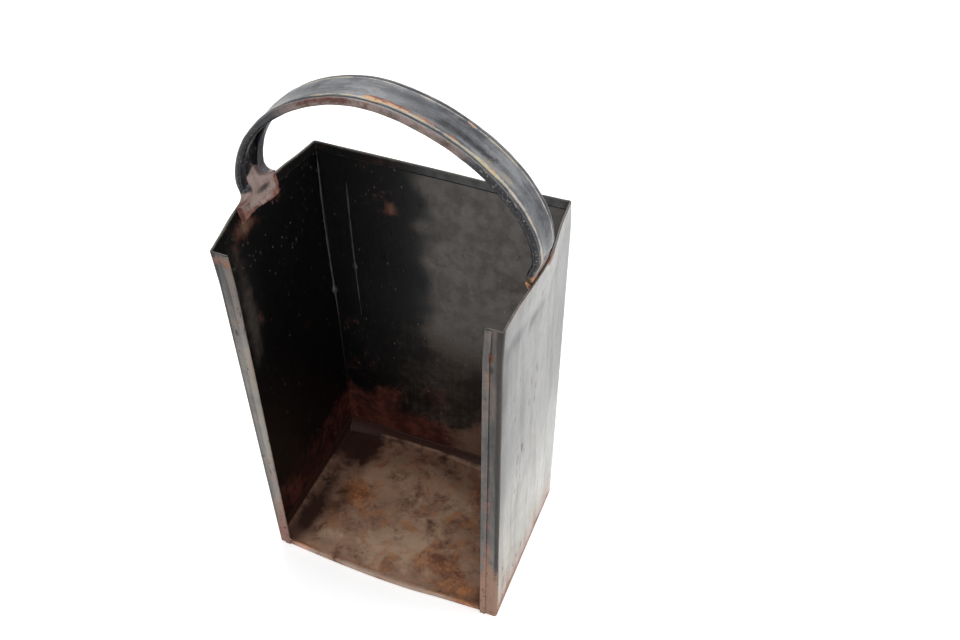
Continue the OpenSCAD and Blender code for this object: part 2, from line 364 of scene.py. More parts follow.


# %% [markdown]
# The outer faces stood in the weather. Their dust is thick and chalky, and on the right
# wall it is also a painted sheen of the room seen at a grazing angle. It is thinnest along
# the crease under the handle, where the metal leans out, and that thinning is painted shade
# of the crease. A pale line along the top edge is a painted highlight. Rust has eaten the
# lower edge and the top edge.
# %% Wear on the outer faces
def wear_outside(x, y, up):
    """The same kinds of sums as inside. The crease shade is painted shade: a bell curve round
    the crease, broken up along its length, that thins the film and the gloss there."""
    down, uneven = HEIGHT - up, waves(x + y, up, 60, 5)
    wander = 1 + 0.5 * waves(x + y, up, 44, 14)
    left_or_back = on_left | on_back
    rust = on_right * (0.5 * bump(up, 0, 9) + 0.22 * blob(y, up, (16, 22), (12, 26)))
    rust += on_right * 0.85 * blob(y, down, (82, 1), (9, 5)) + 0.2 * on_wall * bump(down, 0, 2)
    rust += on_left * (0.55 * bump(up, 0, 22 * wander) + 0.4 * bump(down, 0, 8))
    rust += on_left * (0.36 * blob(y, up, (104, 170), (9, 22)) + 0.4 * blob(y, down, (66, 20), (22, 16)))
    rust += on_back * (0.5 * bump(up, 0, 18 * wander) + 0.36 * bump(down, 0, 5 * wander))
    rust += on_back * 0.42 * blob(x, down, (-38, 0), (20, 16))
    rust += on_back * patches(x, up, (0.4, (62, 96), (9, 14)), (0.34, (88, 226), (5, 40)))
    warm = (0.75 - 0.4 * left_or_back) * smooth((60 - up) / 60) + 0.55 * bump(down, 0, 10)
    warm += 0.55 * on_right * blob(y, up, (13, 56), (10, 34))
    crease = 0.86 * crease_depth(side, np.clip(y, 0, DEPTH))
    # painted shade: a dark band along the crease, made by thinning the film and the gloss
    crease_shade = bump(down, crease, 6.5) * smooth((96 - y) / 40)
    crease_shade *= np.clip(0.7 + 0.4 * waves(y, up, 26, 15), 0, 1)
    thin_film = 0.43 + 0.07 * waves(x + y, up, 76, 12) + 0.24 * smooth((140 - up + 22 * uneven) / 140)
    thin_film -= 0.16 * smooth((80 - down + 20 * uneven) / 80)
    # painted sheen: on the right wall the high film, paler lower down, is dust that partly stands in for
    # the room's reflection at a grazing angle
    film = on_right * (0.62 + 0.34 * smooth((220 - up) / 150) - 0.6 * blob(y, up, (2, 290), (18, 80)))
    # painted highlight: the last term is a pale line along the top edge of the walls
    film += left_or_back * thin_film - on_right * 0.5 * crease_shade + 0.8 * on_wall * bump(down, 0, 1.5)
    pits = on_right * (0.24 + 0.24 * blob(y, up, (40, 190), (24, 80))) + 0.3 * left_or_back
    gloss = 0.55 + 0.24 * smooth((190 - up) / 140) - on_right * 0.18 * smooth((18 - y) / 16)
    gloss -= on_right * (0.62 * crease_shade + patches(y, up, (0.38, (0, 230), (22, 130)),
                                               (0.12, (112, 190), (34, 60))))
    return {"rust": rust, "warm": warm, "film": film, "pits": pits, "gloss": gloss, "inner": 0.0}


# %% [markdown]
# Each return shows four upright stripes: the rusty strip that is folded over, a dark
# groove beside its raw edge, whose dark line is painted shade, a grey band, and a chipped
# corner. They follow the folds, so they are measured from the corner and from the groove
# and not from the middle of the front.
# %% Wear on the returns
def wear_on_returns(x, up):
    """Bell curves round the corner and the groove, and soft steps up from the foot. The dip in the film
    along the groove is painted shade.
    """
    from_corner = WALL_HALF - abs(x)
    groove = return_width(side, up) - EDGE_HEM + 0.5
    left, right = side < 0, side > 0
    band = on_return * smooth((from_corner - 1.0) / 2.4)
    foot = smooth((40 - up) / 40) + 0.35 * smooth((120 - up) / 90)
    low_line = smooth((230 - up) / 90) * bump(from_corner, groove - 1.7, 1.6)
    rust = 0.06 + 0.60 * foot + 0.06 * bump(from_corner, groove, 0.9) + 0.10 * on_strip
    rust += right * (0.26 * smooth((80 - up) / 44) + 0.4 * low_line)
    rust += right * 0.6 * blob(from_corner, up, (6.4, 306), (1.8, 5)) + 0.4 * left * bump(HEIGHT - up, 7, 4)
    warm = 0.45 + 0.5 * foot - 0.2 * right * blob(from_corner, up, (6.4, 306), (3, 9))
    # painted shade: the film dips in a thin dark line along the groove beside the hem's raw edge
    film = np.where(on_strip, 0.52, -0.1 + 0.52 * band) - 0.5 * bump(from_corner, groove, 0.8) * band
    film += left * (0.12 + 0.25 * smooth((290 - up) / 60)) + 0.3 * right * foot
    film += 0.26 * right * band * smooth((190 - up) / 90)
    pits = 0.4 + 0.6 * right * blob(from_corner, up, (6.5, 294), (2, 5)) + 0.9 * bump(from_corner, 0, 1.6)
    return {"rust": rust, "warm": warm, "film": film, "pits": pits, "gloss": 0.15 + 0.25 * on_strip}


# %% [markdown]
# A hem turns the sheet over, so the top hem shows the sheet's outer face to the inside,
# and the folded strips show its inner face to the front. The fields are therefore swapped
# there, and the wear matches what lies beside it and not what lies on the same face.
# %% The body's fields, face by face
def body_wear():
    """Fields for each face of the sheet: rust, from 0 for sound paint to 1 for bare rust; warm,
    how far that rust is pink or orange and not dark; film, the pale dusty
    layer, which also carries painted light: reflection in the haze inside, sheen on the right
    wall, highlights along the top edge, and shade at the crease and in the returns' grooves;
    pits, small chips out of the paint; gloss, how much of the enamel's shine is left; and
    inner, 1 on what faces the inside of the box."""
    x, y, up = (body_middle[..., k] for k in range(3))
    within, outside, returns = wear_inside(x, y, up), wear_outside(x, y, up), wear_on_returns(x, up)
    for name, value in returns.items():
        outside[name] = np.where(on_return | on_strip, value, outside[name])
    # painted highlights: pale lines along the top edge and along the hem's raw edge
    edge_highlights = 0.8 * bump(HEIGHT - up, 0, 1.2) + 0.35 * bump(HEIGHT - up, RIM_HEM, 0.8)
    top_hem = {"rust": 0.8 * within["rust"] + 0.05, "warm": 0.7 * within["warm"],
               "film": 0.1 + edge_highlights, "gloss": within["gloss"], "inner": 0.7}
    for name, value in top_hem.items():
        outside[name] = np.where(in_top_hem, value, outside[name])
    for name, value in within.items():
        within[name] = np.where(on_strip, outside[name], value)
    both = {name: np.broadcast_arrays(within[name], outside[name], x)[:2] for name in within}
    return {name: [np.clip(grid, 0, 1.5) for grid in pair] for name, pair in both.items()}


body = sheet_piece("body_shell", body_middle, body_wear(), keep=body_keep)

# %% [markdown]
# ## The floor pan
# The floor is a second piece of sheet: a plate whose back and side edges are bent up
# against the walls, and whose front edge is bent down into a lip that bows forward. Its
# back edge was bent by hand, so the fold wanders. A box with three walls would need its
# corners cut and rounded one by one. A grid that follows the metal bends all the edges in
# one go, and the lip ends where the returns begin, because the cells beside it are left
# out.
# %% The pan's folds
# how far the middle of an upturned edge lies inside the wall's outer face
PAN_IN = SHEET + PAN_GAP + SHEET / 2
PAN_BEND = 3.4
# heights of the side edges and the back edge over the floor, and the lip's radius
PAN_SIDE_EDGE, PAN_BACK_EDGE = 12.5, 11.4
LIP_BEND = 0.9
# the lip ends this far short of the folded strip on either return
LIP_SHORT = 0.4


def lip_bow(x):
    """How far the lip stands forward of the front plane."""
    return through(x, [(-92, 0.3), (-52, 2.6), (-3, 3.85), (25, 3.3), (51, 1.3), (88, -0.6)])


def back_fold(x):
    """How far in front of the back wall the floor's back fold runs."""
    return through(x, [(-100, 8.6), (-80, 5.4), (-62, 2.9), (-24, 2.4), (-7, 1.9), (13, 4.8),
                       (36, 6.9), (70, 5.6), (100, 6.5)])


def bent_up(distance, rise):
    """A flat that bends up at 90 degrees: how far it goes along, and how high, for a
    distance along the metal. The bend is an arc of PAN_BEND, and rise is past its end."""
    angle = np.clip(distance / PAN_BEND, 0.0, np.pi / 2)
    along = np.minimum(distance, 0.0) + PAN_BEND * np.sin(angle)
    up = PAN_BEND * (1 - np.cos(angle)) + np.clip(distance - PAN_BEND * np.pi / 2, 0.0, rise)
    return along, up


def pan_surface():
    """Middle surface of the pan. Columns run front to back and rows left to right. The side
    edges bend up on an arc. The back edge leans from its fold to the wall: its place is a
    blend of the fold and the wall, eased so that the bend is round. The lip is the front
    edge turned down on a small radius. Where a side edge meets the back edge, the height is
    the fourth root of the sum of both to the fourth power, a soft corner."""
    edge_up = PAN_SIDE_EDGE - PAN_BEND
    half = WALL_HALF - PAN_IN - PAN_BEND
    bend = PAN_BEND * np.pi / 2
    outer = np.concatenate([np.linspace(0, bend, 7)[1:], bend + np.linspace(0, edge_up, 5)[1:]])
    strips = [WALL_HALF - float(return_width(s, 0.0)) - HEM_R for s in (-1, 1)]
    lip_left, lip_right = LIP_SHORT - strips[0], strips[1] - LIP_SHORT
    flat = [np.linspace(-half, lip_left - 0.2, 7), np.linspace(lip_left, lip_right, 98),
            np.linspace(lip_right + 0.2, half, 8)]
    across = np.concatenate([-half - outer[::-1], *flat, half + outer])[:, None]
    along, side_up = bent_up(abs(across) - half, edge_up)
    x = np.sign(across) * (half + along)
    # row is below 0 on the lip, from 0 to 1 over the floor, and from 1 to 2 up the back edge
    lip = np.array([-4.4, -3.2, -2.0, -1.2, -0.6, -0.2])
    floor = np.linspace(0.0, 1.0, 84)
    row = np.concatenate([lip, floor, 1 + np.linspace(0.0, 1.0, 13)[1:]])[None, :]
    lip_turn, lip_below, edge_share = np.clip(-row, 0, 1), np.clip(-row - 1, 0, 9), np.clip(row - 1, 0, 1)
    above_lip = (across >= lip_left) & (across <= lip_right)
    front = np.where(above_lip, SHEET / 2 - lip_bow(x), PAN_IN)
    fold, wall = DEPTH - SHEET - back_fold(x), DEPTH - PAN_IN
    y = front + (fold - front) * np.clip(row, 0, 1) + (wall - fold) * smooth(row - 1) ** 0.8
    back_up = PAN_BACK_EDGE * (edge_share - 0.12 * np.sin(np.pi * edge_share))
    turned = LIP_BEND * (1 - np.cos(lip_turn * np.pi / 2)) + lip_below
    level = smooth(row / 0.06) * smooth((1 - row) / 0.08) * smooth((half - abs(x)) / 12)
    sag = 0.5 * waves(x, y, 70, 11) + 0.18 * waves(x, y, 24, 12) - 0.6
    raised = (side_up**4 + np.maximum(back_up, 0) ** 4) ** 0.25
    z = FLOOR_Z - SHEET / 2 + raised - turned + sag * level
    points = np.stack(np.broadcast_arrays(x, y, z), axis=2)
    beside_lip = (across[:-1] < lip_left) | (across[1:] > lip_right)
    return points, ~(beside_lip & (row[:, :-1] < 0))


pan_middle, pan_keep = pan_surface()


# %% [markdown]
# Things were dragged in and out over the front, so the floor is rubbed pale there, and the
# large pale patch in the middle of the front is also a painted pool of light. The left side
# and the back are darker, with grime and with painted shade, and painted shade also darkens
# the upturned edges. Orange scale grows where water last stood. Three soft fields say
# where, and the finish does the rest.
# %% Patches of wear on the pan
def pan_wear():
    """dark is grime and painted shade, pale is rubbed metal and a painted pool of light, orange is fresh
    scale and lip is the front edge.
    """
    x, y, up = (pan_middle[..., k] for k in range(3))
    # painted shade: darker towards the left side and towards the back
    dark = 0.52 * smooth((-x - 46 + 10 * waves(x, y, 50, 21)) / 36) + 0.50 * smooth((y - 82) / 40)
    dark += patches(x, y, (0.6, (86, 16), (9, 20)), (0.4, (-88, 30), (8, 40)),
                    (-0.3, (-66, 20), (14, 13)))
    # partly painted light: the large patch in the middle of the front is a painted pool of light as well as
    # rubbing
    pale = patches(x, y, (0.75, (-4, 26), (44, 24)), (0.45, (14, 74), (40, 34)),
                   (0.6, (-66, 20), (12, 11)))
    orange = 0.1 + patches(x, y, (0.75, (-62, 68), (17, 12)), (0.35, (44, 70), (18, 9)),
                           (0.4, (38, 28), (22, 10)), (0.4, (62, 12), (26, 14)),
                           (0.25, (-8, 52), (30, 10)))
    orange += 0.95 * smooth((-x - 66) / 16) * (y < 2) + 0.3 * (y < 1)
    lip = smooth((0.2 - y) / 1.0) * (up < FLOOR_Z)
    # painted shade: the upturned edges are darkened, more on the left
    edges = smooth((up - FLOOR_Z - 1) / 5)
    dark = np.clip(dark + (0.5 + 0.6 * (x < 0)) * edges, 0, 1.3)
    underneath = {"dark": dark, "pale": 0.5 * lip, "orange": 0 * orange + 0.3, "lip": lip}
    on_top = {"dark": dark, "pale": pale, "orange": orange, "lip": lip}
    return {name: (on_top[name], underneath[name]) for name in on_top}


pan = sheet_piece("floor_plate", pan_middle, pan_wear(), keep=pan_keep)

# %% [markdown]
# ## The handle
# One strap makes the handle. Its long edges are rolled under, which makes a thin strap
# stiff and kind to the hand, and its middle is dished between two ridges. Near each end
# the rolled edges are opened out into a flat tab, which is soldered to the inside of the
# wall. A curve with a bevelled profile could make the arch, but such a profile can't
# change its shape on the way, and this one opens out at both ends. So the grid's rows run
# along the strap from tab to tab, and its columns run across the metal from one raw edge
# to the other.
# %% Sizes of the strap
# where the strap runs: its distance back at the crown, and how far that changes per mm of x
STRAP_Y, STRAP_SKEW = 67.6, -0.024
CROWN_X, CROWN_Z = -9.9, 433.4
# each tab reaches this far below the top edge, and each leg this far above it
TAB, LEG = 20.0, 15.0
SPRING_Z = HEIGHT + LEG
SPAN_LEFT, SPAN_RIGHT = 104.2, 117.1
ARCH_POWER = 1.82
# across the metal from the middle: the ridge, the groove and the start of the roll
RIDGE, GROOVE, WEB_HALF = 10.5, 12.4, 13.3
DISH = 1.2
ROLL_R = 2.3
ROLL_LENGTH = np.pi * ROLL_R
ROLL_BACK = 5.4


def strap_columns():
    """Distances across the flat metal from the strap's middle, closer together over the
    ridges and the rolled edges."""
    web = np.linspace(0.0, 9.6, 10)
    ridge = np.linspace(10.0, WEB_HALF, 11)
    roll = WEB_HALF + np.linspace(0.0, ROLL_LENGTH, 12)[1:]
    rolled_back = WEB_HALF + ROLL_LENGTH + np.linspace(0, ROLL_BACK, 4)[1:]
    half = np.concatenate([web, ridge, roll, rolled_back])
    return np.concatenate([-half[:0:-1], half])


def strap_section(q, rolled):
    """Across and outward places of the strap's middle surface at a distance q over the flat
    metal. The web is a cosine dish, then comes a ridge and a groove. The edge is an arc
    that turns half round when rolled is 1. As it opens, the same length of metal is spread
    over a larger radius and a smaller angle."""
    rolled = np.maximum(rolled, 0.02)
    size = abs(q)
    dish = -DISH * (1 + np.cos(np.pi * np.minimum(size, RIDGE) / RIDGE)) / 2
    groove = -0.5 * bump(size, GROOVE, 0.7) - 0.25 * smooth((size - RIDGE) / 2.5)
    radius, turn = ROLL_R / rolled, np.pi * rolled
    angle = turn * np.clip((size - WEB_HALF) / ROLL_LENGTH, 0, 1)
    beyond = np.maximum(size - WEB_HALF - ROLL_LENGTH, 0.0)
    across = np.minimum(size, WEB_HALF) + radius * np.sin(angle) + beyond * np.cos(turn)
    outward = rolled * (dish + groove) - radius * (1 - np.cos(angle)) - beyond * np.sin(turn)
    return np.sign(q) * across, outward + rolled * 0.12 * beyond - 0.04


# %% [markdown]
# The arch isn't a half circle: it has flat shoulders and leans to the left. A superellipse
# gives such a shape with one number for the shoulders, and its two halves may have their
# own widths. The feet are worked out in their own function, because there the strap stops
# following the arch and follows the leaning wall.
# %% The strap's path
def arch_line(angle):
    """The outer line of the handle: a superellipse, whose x and z are the cosine and sine of
    the angle raised to 2 over the power. Its right half is wider than its left."""
    c, s = np.cos(angle), np.sin(angle)
    span = np.where(c < 0, SPAN_LEFT, SPAN_RIGHT)
    x = CROWN_X + span * np.sign(c) * abs(c) ** (2 / ARCH_POWER)
    return x, SPRING_Z + (CROWN_Z - SPRING_Z) * np.maximum(s, 0) ** (2 / ARCH_POWER)


def even_arch(steps):
    """Points at even distances along the arch, from left to right, and their outward
    normals: the direction of travel turned a quarter to the left."""
    fine = np.linspace(np.pi, 0.0, 2001)
    x, z_line = arch_line(fine)
    length = np.concatenate([[0.0], np.cumsum(np.hypot(np.diff(x), np.diff(z_line)))])
    at = np.linspace(0.0, length[-1], steps)
    points = np.column_stack([np.interp(at, length, x), np.interp(at, length, z_line)])
    step = np.gradient(points, axis=0)
    step[0], step[-1] = [0.0, 1.0], [0.0, -1.0]
    step /= np.linalg.norm(step, axis=1, keepdims=True)
    return points, np.column_stack([-step[:, 1], step[:, 0]]), at


def foot_surface(which, q):
    """The tab and leg on one side. Rows go from the tab's lower edge up to the arch. Below
    the top edge the metal lies on the wall's inner face. It passes the raw edge of the
    wall's hem with a small step, and above the wall it leans over to meet the arch."""
    step_z = HEIGHT - RIM_HEM - 0.7
    tab_rows, step_rows = np.linspace(HEIGHT - TAB, step_z - 0.9, 9), step_z + np.linspace(-0.6, 0.3, 5)
    hem_rows, leg_rows = np.linspace(HEIGHT - 7.6, HEIGHT, 7), HEIGHT + np.linspace(0.8, LEG - 0.8, 17)
    up = np.concatenate([tab_rows, step_rows, hem_rows, leg_rows])[:, None]
    height = up - HEIGHT
    share = smooth(height / LEG)
    # the right foot's front edge stays rolled further down, and curls where it opens
    near = smooth(-q / 6) if which > 0 else 0.0
    open_until, opens_over = (1.2, 9.0) if which < 0 else (-3.0 - near, 9.0 - 4.5 * near)
    rolled = smooth((height - open_until) / opens_over)
    # the maker snipped the left tab narrower at the back and the right one at the front
    snip = 0.40 if which < 0 else 0.58
    snipped = smooth((1 - rolled) * 2.5) * np.where(-which * q > 0, snip, 0.0)
    left_over = np.sign(q) * (abs(q) - snipped * np.maximum(abs(q) - WEB_HALF, 0))
    across, outward = strap_section(left_over, rolled)
    arch_x = SPAN_LEFT - CROWN_X if which < 0 else SPAN_RIGHT + CROWN_X
    centre = STRAP_Y + STRAP_SKEW * (which * arch_x - CROWN_X)
    y = centre + across
    lower_edge = 0.30 + 0.22 * smooth((q + 6) / 20) - 0.15 * smooth((abs(q) - 22) / 4)
    z_tab = np.where(up < step_z - 0.8, step_z - 0.9 - (step_z - 0.9 - up) * lower_edge, up)
    on_hem = smooth((up - step_z + 0.6) / 0.9)
    inset = SHEET + TAB_GAP + SHEET / 2 + on_hem * (2 * HEM_R + 0.05)
    wall = WALL_HALF + lean_out(which, y, np.minimum(z_tab, HEIGHT)) - inset
    x = which * (wall * (1 - share) + arch_x * share + outward)
    return np.stack(np.broadcast_arrays(x, y, z_tab), axis=2)


def handle_surface():
    """The whole strap: the left foot, the arch and the right foot, joined into one grid. On
    the arch a point is the line's point, plus outward along the normal, plus across in y."""
    q = strap_columns()[None, :]
    line, out, at = even_arch(210)
    across, outward = strap_section(q, 1.0)
    rough = -0.1 * (1 + np.clip(waves(at[:, None], 3 * q, 26, 31), -1, 1)) * smooth(abs(q) / 8)
    knocks = -0.5 * bump(abs(q), WEB_HALF + 3.4, 2.4) * smooth(waves(at[:, None], 0 * q, 34, 33) - 1.0)
    outward = outward + rough + knocks
    x = line[:, :1] + out[:, :1] * outward
    z_arch = line[:, 1:] + out[:, 1:] * outward
    y = STRAP_Y + STRAP_SKEW * (line[:, :1] - CROWN_X) + across
    arch = np.stack(np.broadcast_arrays(x, y, z_arch), axis=2)
    left, right = foot_surface(-1, q), foot_surface(1, q)
    points = np.concatenate([left, arch, right[::-1]])
    crown = np.interp(CROWN_X, line[:, 0], at)
    up_left = left[..., 2].mean(1) - SPRING_Z
    down_right = at[-1] + SPRING_Z - right[::-1, :, 2].mean(1)
    along = np.concatenate([up_left, at, down_right]) - crown
    print("arch", round(at[-1], 1), "mm long, crown", round(at[-1] / 2 - crown, 1), "mm left of its middle")
    return points, along[:, None], q


handle_middle, strap_s, strap_q = handle_surface()


# %% [markdown]
# The hand rubs the two ridges, so the paint is through there, and thick black paint stays
# only where nothing touches it: in the grooves, on the right leg and in a few smudges. All
# of that follows the strap and not the room, so the patches are placed by the distance
# along the strap from its crown and the distance across it from its middle.
# %% Patches of wear on the strap
RUST_SPOTS = [
    (0.5, (8, -8.4), (9, 3.4)), (0.34, (24, -8.6), (8, 3.2)), (0.28, (42, -9.0), (8, 2.6)),
    (0.34, (60, -9.6), (6, 2.4)), (0.5, (90, -9.8), (6, 2)), (0.6, (64, 11), (5, 2.0)),
    (0.3, (24, 12), (16, 2)), (0.3, (-30, -15), (34, 3)),
]
DARK_SMUDGES = [
    (0.40, (28, -3), (18, 5)), (0.46, (54, -2), (14, 6)), (0.42, (76, -2), (14, 5)),
    (0.24, (98, -1), (14, 4)), (0.2, (122, 1), (18, 4)), (0.2, (-20, 3), (24, 3)),
    (0.3, (-60, -2), (28, 4)), (0.2, (70, 7), (20, 2.4)),
]
RUBBED_THROUGH = [(0.5, (104, -4), (26, 5)), (0.45, (66, -7), (16, 2.6)), (0.4, (24, -6), (20, 2.4))]


def handle_wear():
    """rub is where the paint is worn through on the two ridges. rust is a few spots along the
    ridges and the tabs, and warm is how orange it is. dark is where thick black paint has
    stayed on, and on the left tab just below the top edge it is painted shade of the crease.
    light is a pale bloom, and along the front rolled edge it is also a painted highlight.
    along and across place the noises."""
    over_wall = handle_middle[..., 2] - HEIGHT
    s, q = strap_s + 0 * over_wall, strap_q + 0 * over_wall
    size, left = abs(q), s < 0
    tab, right = smooth((9 - over_wall) / 10), smooth((s - 62) / 34)
    arch = 1 - tab
    near, far = smooth((-q - WEB_HALF + 0.4) / 1.6), smooth((q - WEB_HALF + 0.4) / 1.6)
    rub = bump(q, RIDGE, 0.8) + bump(q, -RIDGE, 0.9 + 0.7 * right) + 0.5 * bump(size, WEB_HALF + 0.9, 0.5)
    rub = arch * (rub + patches(s, q, *RUBBED_THROUGH))
    curl = (s > 100) * tab * (q < -9)
    rust = tab * (0.08 + 0.42 * smooth((-5 - over_wall - 3 * (q > 0)) / 8) + 0.34 * smooth((size - 17) / 8))
    rust += 0.19 * near * (1 - right) + far * (0.06 + 0.16 * smooth((40 - s) / 40))
    rust += 0.20 * bump(q, -7.0, 3.4) * smooth((s + 14) / 24) * smooth((84 - s) / 24)
    rust += patches(s, q, *RUST_SPOTS) + 0.5 * curl
    warm = 0.3 * bump(size, RIDGE, 3) * arch + 0.9 * curl + 0.12 * left * smooth((-q - 4) / 8) * tab
    dark = arch * (near * (0.26 + 0.46 * right) + 0.6 * bump(size, GROOVE - 0.1, 0.6)) + 0.3 * far
    dark += 0.35 * near * smooth((-s - 60) / 40) * arch + patches(s, q, *DARK_SMUDGES)
    dark += 0.7 * (s > 100) * blob(over_wall, q, (0, -18), (2.4, 2.6))
    # painted highlight: the near term is a pale bloom along the front rolled edge, from the left shoulder
    # over the crown
    light = 0.8 * tab + 0.62 * near * (1 - right) * smooth((s + 96) / 50) + 0.3 * far
    light += 0.25 * bump(s, 4, 26) * (size < WEB_HALF)
    # the left foot is chalky: up to a soft line on its outer face, and to a wavy one below
    low_left = left * smooth((9 - over_wall) / 3)
    left_foot = left * smooth((15 + 1.5 * np.sin(q / 3) - over_wall) / 2.5)
    light, dark = np.maximum(light, 1.1 * low_left), dark * (1 - low_left)
    leg = smooth((abs(s) - 112) / 14) * arch
    dark_below = (0.25 * arch + 0.6 * leg * smooth((WEB_HALF - size) / 2)) * (1 - left_foot)
    # painted shade: the first patch darkens the left tab just below the top edge, where it bends over the
    # wall
    dark_below += left * patches(over_wall, q, (0.5, (-2.5, 7), (2.6, 8)), (0.3, (-3, -12), (6, 3)))
    light_below = np.maximum(1.3 * left_foot, 0.8 * tab) + 0.35 * smooth((size - WEB_HALF) / 2)
    return {
        "rub": (rub, 0 * rub), "rust": (rust, rust * tab + 0.1 * (1 - left_foot)), "warm": (warm, warm),
        "dark": (dark, dark_below), "light": (light, light_below),
        "along": (s * MM, s * MM), "across": (q * MM, q * MM),
    }


handle = sheet_piece("handle_strap", handle_middle, handle_wear())

# %% [markdown]
# ## Solder runs
# Two thin runs of solder came down the inside of the back when it was joined, and each
# one stopped in a drop. They could be streaks in the finish, but they are real beads of
# metal that catch the light, so they are beads here too: a half round profile carried down
# a path, whose radius swells at the drop.
# %% Beads on the back wall
def bead_piece(name, x, y, top, drop_at, end, facing, radius=0.55, drop=1.25):
    """A bead down a wall. The rings are ellipses round a path that sways a little, cut flat on
    the side of the wall. Their radius is the thin run's, which fades below the drop, plus a
    bell curve at the drop. It goes to nothing as a square root at both ends, which closes
    them. facing is the direction away from the wall."""
    t = np.linspace(0.0, 1.0, 110)[:, None]
    down = top + (end - top) * t
    ends = np.sqrt(np.clip(np.minimum(t, 1 - t) / 0.02, 0, 1))
    fade = 1 - 0.6 * smooth((drop_at - down) / (drop_at - end))
    uneven = 1 + 0.22 * waves(down, 0 * down, 17, int(top))
    size = (radius * fade * uneven + drop * bump(down, drop_at, 3.2)) * ends
    turn = np.linspace(0.0, 2 * np.pi, 17)[None, :-1]
    beside, away = 1.5 * size * np.cos(turn), 0.8 * size * np.maximum(np.sin(turn), -0.2)
    sway = 0.6 * np.sin(down / 31.0) + beside
    points = np.stack(np.broadcast_arrays(x + sway * facing[1] + away * facing[0],
                                          y - sway * facing[0] + away * facing[1], down), axis=2)
    rows, columns = points.shape[:2]
    index = np.arange(rows * columns).reshape(rows, columns)
    beyond = np.roll(index, -1, axis=1)
    cells = np.stack([index[:-1], index[1:], beyond[1:], beyond[:-1]], axis=2).reshape(-1, 4)
    return add_piece(name, to_frame(points.reshape(-1, 3)), cells.tolist())


LEFT_FACE, BACK_FACE = SHEET - WALL_HALF, DEPTH - SHEET
solder_runs = [
    bead_piece("corner_solder_run", LEFT_FACE + 1.1, BACK_FACE - 1.9, 318, 182, 150, facing=(0.7, -0.7)),
    bead_piece("back_solder_run", -77.5, BACK_FACE - 0.4, 299, 214, 158, facing=(0.0, -1.0)),
]

